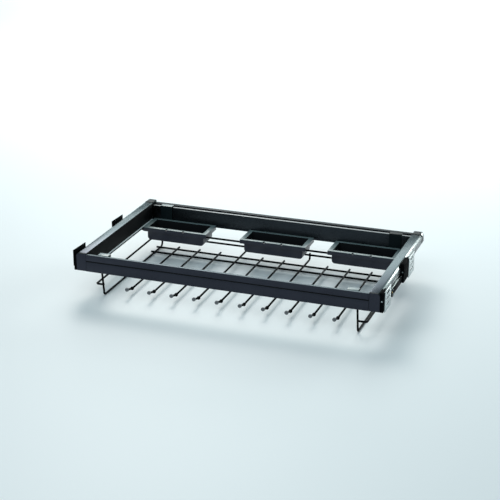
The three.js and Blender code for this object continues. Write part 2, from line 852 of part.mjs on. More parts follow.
// The damper that draws the rack shut: a bar with a foot near its nose, on an arm under the hood
function damper(side) {
  const top = armTop;
  const bottom = top - damperHeight;
  const front = frameFront + damperInset;
  const rear = front + damperLength;
  const footFront = front + damperFootInset;
  const footRear = footFront + damperFootLength;
  const shape = outline([
    [front, top],
    [front, bottom + damperNose],
    [footFront, bottom - damperFoot],
    [footRear, bottom - damperFoot],
    [footRear + damperFoot, bottom],
    [rear, bottom],
    [rear, top],
  ]);
  const [x0, x1] = beside(side, runningGap, runningGap + damperWidth);
  const [arm0, arm1] = beside(side, armInner, runningGap + damperWidth / 2);
  const arm = box(arm0, arm1, footRear, rear - damperFootLength, slideBottom, top - fitGap);
  addPart(`${nameOf(side)}_soft_close_damper`, joined(alongX(shape, x0, x1), arm), blackPlastic);
}

frontRail();
rearRail();
for (const side of [-1, 1]) {
  sideRail(side);
  cornerCaps(side);
  frontClip(side);
  rearClip(side);
  sideWire(side);
  outerWire(side);
  slide(side);
  damper(side);
  wallPlate(side, "front", frontPlateInset, frontPlateLength);
  wallPlate(side, "rear", rearPlateInset, rearPlateLength);
}
leftBracket("left_front_bracket", 0, leftFrontLength);
leftBracket("left_rear_bracket", leftRearInset, leftRearLength);
rightBracket("right_front_bracket", 0, rightFrontLength);
rightBracket("right_rear_bracket", rightRearInset, rightRearLength);
crossWires();
for (let number = 1; number <= rodCount; number += 1) {
  trouserRod(number);
}
for (const [place, x] of Object.entries(trayCentres)) {
  tray(place, x);
}

export default rack;
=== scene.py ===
import json
import math

import bpy
from mathutils import Matrix, Vector


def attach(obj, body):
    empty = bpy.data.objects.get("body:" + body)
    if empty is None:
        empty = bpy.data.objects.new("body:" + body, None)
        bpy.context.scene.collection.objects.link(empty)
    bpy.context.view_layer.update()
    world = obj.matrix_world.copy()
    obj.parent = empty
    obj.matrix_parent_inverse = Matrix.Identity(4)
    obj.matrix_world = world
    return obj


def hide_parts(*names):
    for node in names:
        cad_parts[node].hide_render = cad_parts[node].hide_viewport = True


bl_info = {
    "name": "Pull out trouser rack",
    "version": (1, 0, 0),
    "blender": (4, 5, 0),
    "location": "3D View > Sidebar > Trouser rack",
    "description": "Dresses the rack's frame, wire grid, trays, slides and brackets, and sets its stage",
    "category": "Object",
}

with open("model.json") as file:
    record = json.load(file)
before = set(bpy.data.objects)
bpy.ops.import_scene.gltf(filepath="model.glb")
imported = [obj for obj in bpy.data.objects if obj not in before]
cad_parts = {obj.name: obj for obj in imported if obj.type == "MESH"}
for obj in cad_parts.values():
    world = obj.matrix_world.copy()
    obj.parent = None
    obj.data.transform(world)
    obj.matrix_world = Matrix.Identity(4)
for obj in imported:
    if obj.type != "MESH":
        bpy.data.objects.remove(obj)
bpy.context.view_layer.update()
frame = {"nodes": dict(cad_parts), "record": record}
record = frame["record"]
SLOT_OF = {row["node"]: row["material_slot"] for row in record["subparts"]}
BODY_OF = {node: body for body, nodes in record["behaviour"]["bodies"].items() for node in nodes}
MM = 0.001
SIDES = (("left", -1), ("right", 1))
ROD_COUNT = 10
MIDDLE_ROD = (ROD_COUNT + 1) / 2
LONG_RODS = (4, 7)

# Places of the wires, as the solids have them: heights over the floor, drops under the frame's top or the
# rails' undersides, and insets from the frame's front or rear
FIT_GAP = 0.3 * MM
RAIL_HEIGHT = 50 * MM
FRONT_LEG_DROP = 20.6 * MM
FRONT_FOOT_INSET = 34 * MM
FRONT_TOP_INSET = 18.6 * MM
FRONT_LEG_BEND = 9 * MM
REAR_LEG_DROP = 12.3 * MM
REAR_FOOT_INSET = 45 * MM
REAR_TOP_INSET = 38.5 * MM
REAR_LEG_BEND = 12 * MM
GUARD_HEIGHT = 31.4 * MM
GUARD_OFFSET = 23 * MM
GUARD_BEND = 5.5 * MM
BACK_WIRE_HEIGHT = 30.4 * MM
CROSS_WIRE_OVERHANG = 6 * MM
FRONT_CROSS_INSET = 114 * MM
REAR_CROSS_INSET = 73 * MM
TRAY_WIRE_INSET = 115.5 * MM
TRAY_WIRE_MARGIN = 25.5 * MM
ROD_FRONT_INSET = 73.5 * MM
ROD_REAR_INSET = 67 * MM
LONG_ROD_TOP = 34.4 * MM
LONG_ROD_BEND = 8 * MM

# The least share of an axis in the normal of a face that slants towards it, faces it or lies square to it
SLANTS = 0.3
FACES = 0.7
SQUARE = 0.8


# Sizes and colours that a user may change

def length(name, description, default_mm):
    return bpy.props.FloatProperty(name=name, description=description, default=default_mm * MM, min=0,
                                   subtype="DISTANCE", unit="LENGTH", precision=5)


def colour(name, description, default):
    return bpy.props.FloatVectorProperty(name=name, description=description, default=default, size=3,
                                         min=0, max=1, subtype="COLOR")


class RackSizes(bpy.types.PropertyGroup):
    wire_thickness: length("Wire thickness", "Diameter of the grid's wires and rods", 5.6)
    rod_pitch: length("Rod pitch", "Distance between the middles of two rods", 65)
    frame_width: length("Frame width", "Width over the side rails", 842)
    frame_depth: length("Frame depth", "Depth from the front rail's face to the rear caps", 480)
    frame_top: length("Frame top", "Height of the side rails' top over the floor", 128.4)
    rail_edge: length("Rail edge", "Rounding of the aluminium rails' edges", 0.8)
    moulded_edge: length("Moulded edge", "Rounding of the plastic pieces' edges", 0.7)
    sheet_edge: length("Sheet edge", "Rounding of the steel sheets' edges", 0.25)
    tip_edge: length("Tip edge", "Rounding of the edges of the rods' tips", 0.3)
    damper_edge: length("Damper edge", "Rounding of the dampers' edges", 1.6)
    ball: length("Ball", "Diameter of the ball at a rod's tip", 11.3)
    screw: length("Screw", "Diameter of the head of the screw in a right-hand bracket", 4.2)


class RackColours(bpy.types.PropertyGroup):
    anodised: colour("Anodised", "Dark anodised aluminium of the rails", (0.041, 0.043, 0.057))
    # rear: painted light, a lighter copy of the anodising for the rear rail's inner face
    rear: colour("Rear rail", "Inner face of the rear rail", (0.052, 0.058, 0.065))
    wire: colour("Wire", "Black coating of the wires", (0.004, 0.004, 0.005))
    # rim: painted highlight, the lit look of the trays' rims and the clips' tops; a damper's lower stud
    # wears it too
    rim: colour("Rim", "Rubbed grey-green of the trays' rims and the clips' tops", (0.18, 0.235, 0.24))
    # bright: painted highlight along the hoods' and rear caps' shoulders and along the dampers' edges
    bright: colour("Bright strip", "Polished strip along the hoods' shoulders", (0.37, 0.41, 0.40))
    # lip: painted highlight, a near-white matte top on the aluminium lip
    lip: colour("Lip", "Milky top of the lip along the side rails' feet", (0.80, 0.84, 0.84))
    # skirt: painted reflection on the hoods' lower edges, and painted highlight on the front groove's lip
    # and the rear rail's inner flange
    skirt: colour("Skirt", "Lower edge of the hoods", (0.12, 0.13, 0.135))
    # cap: also the painted shade on the rear rail's outer flange top and on the front caps' tops
    cap: colour("Cap", "Grey-green plastic of the rear caps and clips", (0.008, 0.014, 0.016))
    plastic: colour("Plastic", "Black moulded plastic", (0.004, 0.0045, 0.005))
    tray: colour("Tray", "Blue-black moulded plastic of the trays", (0.011, 0.013, 0.028))
    # tub: painted shade inside the trays' tubs
    tub: colour("Tub", "Black inside of the trays", (0.013, 0.014, 0.016))
    tip: colour("Tip", "Soft plastic of the rods' tips", (0.15, 0.155, 0.165))
    zinc: colour("Zinc", "Bright zinc of the slides and plates", (0.46, 0.50, 0.50))
    brass: colour("Brass", "Yellow stud of the dampers", (0.55, 0.36, 0.12))
    dust: colour("Dust", "Thin dust on what faces up", (0.35, 0.37, 0.38))
    floor: colour("Floor", "Pale floor and backdrop", (0.82, 0.85, 0.865))


def sizes():
    return bpy.context.scene.rack_sizes


def colours():
    return bpy.context.scene.rack_colours


# Selection and modelling helpers

def deselect():
    bpy.ops.object.select_all(action="DESELECT")


def active():
    return bpy.context.view_layer.objects.active


def pick(obj):
    deselect()
    obj.select_set(True)
    bpy.context.view_layer.objects.active = obj


def edit(obj, *steps):
    pick(obj)
    bpy.ops.object.mode_set(mode="EDIT")
    bpy.ops.mesh.select_all(action="SELECT")
    for step in steps:
        step()
    bpy.ops.object.mode_set(mode="OBJECT")


def merge():
    bpy.ops.mesh.remove_doubles(threshold=1e-6)


def dissolve():
    bpy.ops.mesh.dissolve_limited(angle_limit=math.radians(0.4))


def outwards():
    bpy.ops.mesh.normals_make_consistent(inside=False)


def extrude(height):
    bpy.ops.mesh.extrude_region_move(TRANSFORM_OT_translate={"value": (0, 0, height)})


def finish_modifiers(obj):
    pick(obj)
    for modifier in list(obj.modifiers):
        bpy.ops.object.modifier_apply(modifier=modifier.name)


def round_edges(obj, width, segments=2, angle=28):
    bevel = obj.modifiers.new("round edges", "BEVEL")
    bevel.width = width
    bevel.segments = segments
    bevel.limit_method = "ANGLE"
    bevel.angle_limit = math.radians(angle)
    bevel.use_clamp_overlap = True
    bevel.harden_normals = False
    finish_modifiers(obj)


def smooth(obj, angle=40):
    pick(obj)
    bpy.ops.object.shade_smooth_by_angle(angle=math.radians(angle))


def settle(obj):
    """Puts the object's place into its mesh."""
    pick(obj)
    bpy.ops.object.transform_apply(location=True, rotation=True, scale=True)


def wear(obj, slot):
    obj.data.materials.clear()
    obj.data.materials.append(LOOKS[slot])


def finish_piece(obj, node, slot):
    """Names the object after its CAD node, and lets it stand for the node and ride with its body."""
    name = node + "_form"
    obj.name = name
    obj.data.name = name
    wear(obj, slot)
    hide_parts(node)
    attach(obj, BODY_OF[node])
    return obj


def block(low, high):
    """A box between two corners, for cutting."""
    deselect()
    bpy.ops.mesh.primitive_cube_add(size=1, location=(Vector(low) + Vector(high)) / 2)
    obj = active()
    obj.scale = Vector(high) - Vector(low)
    settle(obj)
    return obj


def cut_out(obj, tool):
    cutting = obj.modifiers.new("cut", "BOOLEAN")
    cutting.operation = "DIFFERENCE"
    cutting.solver = "EXACT"
    cutting.object = tool
    finish_modifiers(obj)
    bpy.data.objects.remove(tool)


def dressed(node, width, segments=2, angle=28, slot=None, cutters=(), split=None):
    """A copy of a CAD node, merged and with its edges rounded, that stands for the node.

    cutters are boxes to cut out, each by its two corners. split is a point and a normal: faces that cross
    this plane are parted there, to take two looks.
    """
    obj = bpy.data.objects.new(node + "_form", frame["nodes"][node].data.copy())
    bpy.context.scene.collection.objects.link(obj)
    edit(obj, merge, dissolve)
    for low, high in cutters:
        cut_out(obj, block(low, high))
    if split is not None:
        edit(obj, lambda: bpy.ops.mesh.bisect(plane_co=split[0], plane_no=split[1]))
    round_edges(obj, width, segments, angle)
    smooth(obj)
    return finish_piece(obj, node, slot or SLOT_OF[node])


def painted(obj, slot, wanted):
    """Gives a second look to the faces for which wanted(centre, normal) holds."""
    obj.data.materials.append(LOOKS[slot])
    last = len(obj.data.materials) - 1
    for face in obj.data.polygons:
        if wanted(face.center, face.normal):
            face.material_index = last


def faces_up(centre, normal):
    return normal.z > FACES


def stud(width, height, place, axis, slot):
    """A turned head with a round recess, that stands on its place along the axis."""
    deselect()
    bpy.ops.mesh.primitive_circle_add(vertices=24, radius=width / 2, fill_type="NGON", location=(0, 0, 0))
    obj = active()
    edit(obj, lambda: extrude(height), lambda: bpy.ops.mesh.inset(thickness=width * 0.22),
         lambda: extrude(-height / 2))
    edit(obj, outwards)
    round_edges(obj, height * 0.25, 2, 40)
    smooth(obj)
    obj.rotation_euler = Vector(axis).to_track_quat("Z", "Y").to_euler()
    obj.location = place
    settle(obj)
    wear(obj, slot)
    return obj


def join(piece, *others):
    pick(piece)
    for obj in others:
        obj.select_set(True)
    bpy.ops.object.join()


def node_box(node):
    """The lowest and highest corner of a CAD node."""
    source = frame["nodes"][node]
    corners = [source.matrix_world @ Vector(corner) for corner in source.bound_box]
    return ([min(corner[i] for corner in corners) for i in range(3)],
            [max(corner[i] for corner in corners) for i in range(3)])


# Materials

# The material of each look, by its name
LOOKS = {}
BROAD_SCALE = 22
NOISE_LOW = 0.6
NOISE_HIGH = 1.4
SHADE_LOW = 0.86
SHADE_HIGH = 1.14
RELIEF = 0.2 * MM
ALONG_X = (0.03, 1, 1)
ALONG_Y = (1, 0.03, 1)
GREENISH = (0.90, 1, 0.98)


def new_group(name, inputs, outputs):
    group = bpy.data.node_groups.new(name, "ShaderNodeTree")
    for label, kind, default in inputs:
        socket = group.interface.new_socket(label, in_out="INPUT", socket_type=kind)
        socket.default_value = default
    for label, kind in outputs:
        group.interface.new_socket(label, in_out="OUTPUT", socket_type=kind)
    return group, group.nodes.new("NodeGroupInput"), group.nodes.new("NodeGroupOutput")


def add_node(tree, kind, operation=None, **values):
    """A shader node with its operation and its inputs' values, whose names have underscores for spaces."""
    node = tree.nodes.new("ShaderNode" + kind)
    if operation:
        node.operation = operation
    for label, value in values.items():
        node.inputs[label.replace("_", " ")].default_value = value
    return node


def surface_group():
    """Fine grain that can be stretched along an axis, with broad wear and a dusting on what faces up."""
    group, start, end = new_group("Worn surface", (
        ("Colour", "NodeSocketColor", (0.5, 0.5, 0.5, 1)),
        ("Dust colour", "NodeSocketColor", (0.5, 0.5, 0.5, 1)),
        ("Roughness", "NodeSocketFloat", 0.4),
        ("Roughness spread", "NodeSocketFloat", 0.1),
        ("Grain stretch", "NodeSocketVector", (1, 1, 1)),
        ("Grain size", "NodeSocketFloat", 900),
        ("Dust", "NodeSocketFloat", 0.05),
    ), (("Colour", "NodeSocketColor"), ("Roughness", "NodeSocketFloat"), ("Height", "NodeSocketFloat")))
    place = add_node(group, "TexCoord")
    stretch = add_node(group, "VectorMath", "MULTIPLY")
    grain = add_node(group, "TexNoise", Detail=3)
    broad = add_node(group, "TexNoise", Scale=BROAD_SCALE, Detail=4)
    mixed = add_node(group, "Math", "ADD")
    spread = add_node(group, "MapRange", From_Min=NOISE_LOW, From_Max=NOISE_HIGH, To_Min=-1, To_Max=1)
    rough = add_node(group, "Math", "MULTIPLY_ADD")
    rough.use_clamp = True
    shade = add_node(group, "MapRange", From_Min=-1, From_Max=1, To_Min=SHADE_LOW, To_Max=SHADE_HIGH)
    tinted = add_node(group, "VectorMath", "SCALE")
    shape = add_node(group, "NewGeometry")
    facing = add_node(group, "SeparateXYZ")
    settled = add_node(group, "MapRange", From_Min=0.6)
    speck = add_node(group, "Math", "MULTIPLY")
    dust = add_node(group, "Math", "MULTIPLY")
    over = add_node(group, "Mix")
    over.data_type = "RGBA"
    for source, target in (
        (place.outputs["Object"], stretch.inputs[0]),
        (start.outputs["Grain stretch"], stretch.inputs[1]),
        (stretch.outputs[0], grain.inputs["Vector"]),
        (start.outputs["Grain size"], grain.inputs["Scale"]),
        (place.outputs["Object"], broad.inputs["Vector"]),
        (grain.outputs["Fac"], mixed.inputs[0]),
        (broad.outputs["Fac"], mixed.inputs[1]),
        (mixed.outputs[0], spread.inputs["Value"]),
        (spread.outputs["Result"], rough.inputs[0]),
        (start.outputs["Roughness spread"], rough.inputs[1]),
        (start.outputs["Roughness"], rough.inputs[2]),
        (spread.outputs["Result"], shade.inputs["Value"]),
        (start.outputs["Colour"], tinted.inputs[0]),
        (shade.outputs["Result"], tinted.inputs["Scale"]),
        (shape.outputs["Normal"], facing.inputs[0]),
        (facing.outputs["Z"], settled.inputs["Value"]),
        (settled.outputs["Result"], speck.inputs[0]),
        (broad.outputs["Fac"], speck.inputs[1]),
        (speck.outputs[0], dust.inputs[0]),
        (start.outputs["Dust"], dust.inputs[1]),
        (dust.outputs[0], over.inputs["Factor"]),
        (tinted.outputs[0], over.inputs[6]),
        (start.outputs["Dust colour"], over.inputs[7]),
        (over.outputs[2], end.inputs["Colour"]),
        (rough.outputs[0], end.inputs["Roughness"]),
        (grain.outputs["Fac"], end.inputs["Height"]),
    ):
        group.links.new(source, target)
    return group


def make_material(name, group, tint, roughness, metallic, spread=0.06, stretch=(1, 1, 1), grain=900,
                  dust=0.04, bump=0.05, specular=0.5, edge_tint=(1, 1, 1)):
    material = bpy.data.materials.new(name)
    material.use_nodes = True
    tree = material.node_tree
    shader = tree.nodes["Principled BSDF"]
    worn = tree.nodes.new("ShaderNodeGroup")
    worn.node_tree = group
    for label, value in (("Colour", (*tint, 1)), ("Dust colour", (*colours().dust, 1)),
                         ("Roughness", roughness), ("Roughness spread", spread),
                         ("Grain stretch", stretch), ("Grain size", grain), ("Dust", dust)):
        worn.inputs[label].default_value = value
    relief = add_node(tree, "Bump", Strength=bump, Distance=RELIEF)
    for source, target in ((worn.outputs["Colour"], shader.inputs["Base Color"]),
                           (worn.outputs["Roughness"], shader.inputs["Roughness"]),
                           (worn.outputs["Height"], relief.inputs["Height"]),
                           (relief.outputs["Normal"], shader.inputs["Normal"])):
        tree.links.new(source, target)
    shader.inputs["Metallic"].default_value = metallic
    shader.inputs["Specular IOR Level"].default_value = specular
    shader.inputs["Specular Tint"].default_value = (*edge_tint, 1)
    return material


def build_materials():
    """Makes each look from its tint, its roughness, how metallic it is, and what differs from the usual."""
    group = surface_group()
    tint = colours()
    anodised = dict(stretch=ALONG_X, grain=1400, bump=0.04, edge_tint=GREENISH)
    polished = dict(stretch=ALONG_Y, grain=1400, bump=0.03, dust=0)
    moulded = dict(grain=1800, bump=0.06, dust=0)
    looks = {
        "anodised_aluminium": (tint.anodised, 0.3, 1.0, anodised),
        "side_aluminium": (tint.anodised, 0.25, 1.0, dict(anodised, stretch=ALONG_Y)),
        "lit_rear_aluminium": (tint.rear, 0.3, 1.0, anodised),
        "highlight_aluminium": (tint.bright, 0.24, 1.0, polished),
        "reflection_aluminium": (tint.skirt, 0.35, 1.0, polished),
        "lip_highlight_aluminium": (tint.lip, 0.5, 0.0, polished),
        # painted shade: matte black for the side rails' inner faces and the front rail's groove
        "shade_aluminium": (tint.plastic, 0.45, 0.0, dict(polished, bump=0.05, specular=0.07)),
        "black_wire": (tint.wire, 0.34, 0.0, dict(grain=300, bump=0.03, dust=0, specular=0.025)),
        "black_plastic": (tint.plastic, 0.5, 0.0, dict(grain=2200, bump=0.1, dust=0, specular=0.005)),
        # the caps' own plastic, also used as painted shade
        "cap_plastic_and_shade": (tint.cap, 0.36, 0.0, dict(moulded, specular=0.06)),
        "damper_plastic": (tint.plastic, 0.45, 0.0, dict(moulded, specular=0.008)),
        "sheen_plastic": (tint.rim, 0.3, 0.0, moulded),
        "tray_plastic": (tint.tray, 0.32, 0.0, dict(moulded, bump=0.15, dust=0.02)),
        "tub_shade_plastic": (tint.tub, 0.5, 0.0, dict(moulded, bump=0.15, specular=0.03)),
        "rod_tip_plastic": (tint.tip, 0.4, 0.0, dict(grain=1800, bump=0.06)),
        "zinc_steel": (tint.zinc, 0.3, 1.0, dict(stretch=ALONG_Y, grain=1000, bump=0.03, spread=0.05)),
        "screw_steel": (tint.zinc, 0.25, 1.0, dict(grain=1500, bump=0.03)),
        "brass_stud": (tint.brass, 0.3, 1.0, dict(grain=1500, bump=0.03)),
    }
    for name, (base, roughness, metallic, more) in looks.items():
        LOOKS[name] = make_material(name.replace("_", " "), group, base, roughness, metallic, **more)


# Wires

def arc(corner, before, after, radius, steps=10):
    """Points of a round bend between two directions that meet in a corner."""
    turn = before.angle(after)
    inward = (after - before * before.dot(after)).normalized()
    centre = corner - before * (radius * math.tan(turn / 2)) + inward * radius
    points = []
    for step in range(steps + 1):
        angle = turn * step / steps
        points.append(centre - inward * (radius * math.cos(angle)) + before * (radius * math.sin(angle)))
    return points


def bent_wire(corners, bends, thickness):
    """A smooth round wire through the corners, with a round bend at each inner one."""
    at = [Vector(corner) for corner in corners]
    points = [at[0]]
    for i in range(1, len(at) - 1):
        before = (at[i] - at[i - 1]).normalized()
        after = (at[i + 1] - at[i]).normalized()
        points += arc(at[i], before, after, bends[i - 1])
    points.append(at[-1])
    deselect()
    bpy.ops.curve.primitive_nurbs_path_add(location=(0, 0, 0))
    obj = active()
    line = obj.data
    line.splines.clear()
    spline = line.splines.new("POLY")
    spline.points.add(len(points) - 1)
    for point, place in zip(spline.points, points):
        point.co = (*place, 1)
    line.dimensions = "3D"
    line.bevel_depth = thickness / 2
    line.bevel_resolution = 3
    line.use_fill_caps = True
    pick(obj)
    bpy.ops.object.convert(target="MESH")
    obj = active()
    edit(obj, merge, outwards)
    return obj


def wire_piece(node, corners, bends=()):
    thickness = sizes().wire_thickness
    obj = bent_wire(corners, bends, thickness)
    round_edges(obj, thickness * 0.12, 2, 60)
    smooth(obj, 50)
    finish_piece(obj, node, "black_wire")


class Grid:
    """Places of the hanging grid, worked out from the sizes."""

    def __init__(self):
        size = sizes()
        self.step = size.wire_thickness + FIT_GAP
        self.side_z = size.wire_thickness / 2
        self.cross_z = self.side_z + self.step
        self.rod_z = self.cross_z + self.step
        self.side_x = size.rod_pitch * MIDDLE_ROD
        self.front = -size.frame_depth / 2
        self.rear = size.frame_depth / 2
        self.rail_bottom = size.frame_top - RAIL_HEIGHT
        self.front_top_z = size.frame_top - FRONT_LEG_DROP
        self.rear_top_z = self.rail_bottom - REAR_LEG_DROP

    def leg(self, foot_y, top_y, top_z, z):
        return foot_y + (z - self.side_z) / (top_z - self.side_z) * (top_y - foot_y)

    def front_leg(self, z):
        return self.leg(self.front + FRONT_FOOT_INSET, self.front + FRONT_TOP_INSET, self.front_top_z, z)

    def rear_leg(self, z):
        return self.leg(self.rear - REAR_FOOT_INSET, self.rear - REAR_TOP_INSET, self.rear_top_z, z)

    def rod_x(self, number):
        return (number - MIDDLE_ROD) * sizes().rod_pitch


class WiresOperator(bpy.types.Operator):
    """Draws the side wires, guard wires and cross wires of the grid, and the tray wire"""
    bl_idname = "rack.wires"
    bl_label = "Grid wires"

    def execute(self, context):
        grid = Grid()
        for name, side in SIDES:
            x = side * grid.side_x
            wire_piece(name + "_side_wire", [
                (x, grid.front_leg(grid.front_top_z), grid.front_top_z),
                (x, grid.front_leg(grid.side_z), grid.side_z),
                (x, grid.rear_leg(grid.side_z), grid.side_z),
                (x, grid.rear_leg(grid.rear_top_z), grid.rear_top_z),
            ], (FRONT_LEG_BEND, REAR_LEG_BEND))
            run = side * (grid.side_x + GUARD_OFFSET)
            front = grid.front_leg(GUARD_HEIGHT) + grid.step
            rear = grid.rear_leg(GUARD_HEIGHT) - grid.step
            wire_piece(name + "_outer_wire", [
                (x, front, GUARD_HEIGHT), (run, front, GUARD_HEIGHT),
                (run, rear, GUARD_HEIGHT), (x, rear, GUARD_HEIGHT),
            ], (GUARD_BEND, GUARD_BEND))
        reach = grid.side_x + CROSS_WIRE_OVERHANG
        tray_reach = sizes().frame_width / 2 - TRAY_WIRE_MARGIN
        tray_wire_z = grid.rail_bottom - FIT_GAP - sizes().wire_thickness / 2
        for node, end, y, z in (
            ("front_cross_wire", reach, grid.rear - FRONT_CROSS_INSET, grid.cross_z),
            ("rear_cross_wire", reach, grid.rear - REAR_CROSS_INSET, grid.cross_z),
            ("grid_rear_wire", reach, grid.rear_leg(BACK_WIRE_HEIGHT) + grid.step, BACK_WIRE_HEIGHT),
            ("tray_wire", tray_reach, grid.rear - TRAY_WIRE_INSET, tray_wire_z),
        ):
            wire_piece(node, [(-end, y, z), (end, y, z)])
        return {"FINISHED"}


class RodsOperator(bpy.types.Operator):
    """Draws the trouser rods, with the two long ones that turn up behind the grid"""
    bl_idname = "rack.rods"
    bl_label = "Trouser rods"

    def execute(self, context):
        grid = Grid()
        for number in range(1, ROD_COUNT + 1):
            x = grid.rod_x(number)
            node = f"trouser_rod_{number}"
            start = (x, grid.front + ROD_FRONT_INSET, grid.rod_z)
            if number in LONG_RODS:
                upright = grid.rear_leg(BACK_WIRE_HEIGHT) + 2 * grid.step
                corners = [start, (x, upright, grid.rod_z), (x, upright, LONG_ROD_TOP)]
                wire_piece(node, corners, (LONG_ROD_BEND,))
            else:
                wire_piece(node, [start, (x, grid.rear - ROD_REAR_INSET, grid.rod_z)])
        return {"FINISHED"}


class TipsOperator(bpy.types.Operator):
    """Rounds the edges of the ball-ended tips and darkens their collars"""
    bl_idname = "rack.tips"
    bl_label = "Rod tips"

    def execute(self, context):
        for number in range(1, ROD_COUNT + 1):
            node = f"rod_tip_{number}"
            collar = node_box(node)[0][1] + sizes().ball + 1 * MM
            tip = dressed(node, sizes().tip_edge, 2, 35)
            painted(tip, "damper_plastic", lambda centre, normal: centre.y > collar)
        return {"FINISHED"}


# Rails, caps and clips

SHOULDER_WIDTH = 5 * MM
SHOULDER_DROP = 9.5 * MM
SHOULDER_TILT = 0.12
SKIRT_DROP = 9 * MM
SKIRT_SHEET = 1 * MM
RAIL_WIDTH = 30 * MM
LIP_MIDDLE = 34 * MM
LIP_DROP = 46 * MM
FOOT_DROP = 45 * MM
CAP_JOINT = 8 * MM
JOINT_MARGIN = 6 * MM
GROOVE_DROP = 22.6 * MM
GROOVE_DEPTH = 2 * MM
GROOVE_FLOOR = 0.8 * MM
GROOVE_REACH = 1 * MM
REAR_MIDDLE = 15 * MM
REAR_FLANGE = 5 * MM
REAR_FLOOR = 25 * MM


def on_shoulder(side):
    """Tells the sloping strip on a hood's outer shoulder, which gets a painted highlight."""
    edge = sizes().frame_width / 2 - SHOULDER_WIDTH
    low = sizes().frame_top - SHOULDER_DROP

    def wanted(centre, normal):
        slopes = side * normal.x > SLANTS and normal.z > SHOULDER_TILT
        return slopes and side * centre.x > edge and centre.z > low
    return wanted


def on_skirt(side):
    """Tells the upright edge under the shoulder, which gets a painted reflection."""
    edge = sizes().frame_width / 2 - SKIRT_SHEET
    top = sizes().frame_top - SKIRT_DROP

    def wanted(centre, normal):
        return side * centre.x > edge and centre.z < top and side * normal.x > FACES
    return wanted


def on_inside(side):
    """Tells the inner side of a side rail, with the slant at its foot, which gets painted shade."""
    foot = sizes().frame_top - FOOT_DROP

    def wanted(centre, normal):
        return -side * normal.x > (SLANTS if centre.z < foot else SQUARE)
    return wanted


def on_lip(side):
    """Tells the top of the lip along a side rail's foot, which gets a painted highlight."""
    edge = sizes().frame_width / 2 - RAIL_WIDTH
    top = sizes().frame_top - LIP_DROP

    def wanted(centre, normal):
        return side * centre.x < edge and centre.z < top and normal.z > SQUARE
    return wanted


def on_joint(side, end):
    """Tells the dark joint between a side rail and its rear cap."""
    edge = sizes().frame_width / 2 - JOINT_MARGIN

    def wanted(centre, normal):
        return normal.y < -FACES or (centre.y < end and side * centre.x > edge)
    return wanted


def dress_front_rail():
    rail = dressed("front_rail", sizes().rail_edge)
    face = -sizes().frame_depth / 2
    groove = sizes().frame_top - GROOVE_DROP
    floor = face + GROOVE_FLOOR
    # painted shade in the groove's recess
    painted(rail, "shade_aluminium", lambda centre, normal: (
        normal.y < -SQUARE and floor < centre.y < floor + GROOVE_REACH))
    # painted highlight on the groove's lower lip
    painted(rail, "reflection_aluminium", lambda centre, normal: (
        normal.z > SQUARE and abs(centre.z - groove) < GROOVE_REACH and centre.y < face + GROOVE_DEPTH))


def dress_rear_rail():
    """The channel's inner face gets a lighter anodising as painted light, the top of its outer flange
    painted shade, and that of its inner one a painted highlight.
    """
    rail = dressed("rear_rail", sizes().rail_edge)
    middle = sizes().frame_depth / 2 - REAR_MIDDLE
    outer = middle + REAR_FLANGE
    floor = sizes().frame_top - REAR_FLOOR
    # painted light: the lighter anodising on the channel's inner face
    painted(rail, "lit_rear_aluminium", lambda centre, normal: normal.y < -FACES and centre.y < middle)
    # painted shade: the dark cap plastic on the outer flange's top
    painted(rail, "cap_plastic_and_shade", lambda centre, normal: normal.z > FACES and centre.y > outer)
    # painted highlight on the inner flange's top
    painted(rail, "reflection_aluminium", lambda centre, normal: (
        normal.z > FACES and centre.y < middle and centre.z > floor))


def dress_side_rail(name, side):
    lip_middle = sizes().frame_width / 2 - LIP_MIDDLE
    # the split parts the lip's top for its painted highlight and its painted shade
    rail = dressed(name + "_side_rail", sizes().rail_edge, slot="side_aluminium",
                   split=((side * lip_middle, 0, 0), (1, 0, 0)))
    joint = node_box(name + "_rear_cap")[0][1] + CAP_JOINT
    cap = dressed(name + "_rear_cap", sizes().moulded_edge, slot="cap_plastic_and_shade",
                  split=((0, joint, 0), (0, 1, 0)))
    for piece in (rail, cap):
        # painted highlight on the shoulder and painted reflection on the skirt, on the rail and on its rear
        # cap
        painted(piece, "highlight_aluminium", on_shoulder(side))
        painted(piece, "reflection_aluminium", on_skirt(side))
    # painted shade on the rail's inner side
    painted(rail, "shade_aluminium", on_inside(side))
    # painted highlight on the lip's top
    painted(rail, "lip_highlight_aluminium", on_lip(side))
    # painted shade: the lip's inner half and its edge in black
    painted(rail, "black_plastic", lambda centre, normal: side * centre.x < lip_middle)
    painted(cap, "black_plastic", on_joint(side, joint))
    # painted shade on the front cap's top
    painted(dressed(name + "_front_cap", sizes().rail_edge), "cap_plastic_and_shade", faces_up)


class RailsOperator(bpy.types.Operator):
    """Rounds the edges of the aluminium rails and their caps"""
    bl_idname = "rack.rails"
    bl_label = "Rails and caps"

    def execute(self, context):
        dress_front_rail()
        dress_rear_rail()
        for name, side in SIDES:
            dress_side_rail(name, side)
        return {"FINISHED"}


class ClipsOperator(bpy.types.Operator):
    """Rounds the clips that hang the grid, three of which have a painted highlight on their top"""
    bl_idname = "rack.clips"
    bl_label = "Clips"

    def execute(self, context):
        for name, _ in SIDES:
            front = dressed(name + "_front_clip", sizes().moulded_edge, slot="cap_plastic_and_shade")
            # painted highlight on the front clip's top
            painted(front, "sheen_plastic", faces_up)
            rear = dressed(name + "_rear_clip", sizes().moulded_edge, slot="cap_plastic_and_shade")
            # only the left rear clip's top gets the painted highlight
            if name == "left":
                painted(rear, "sheen_plastic", faces_up)
        return {"FINISHED"}


# Trays

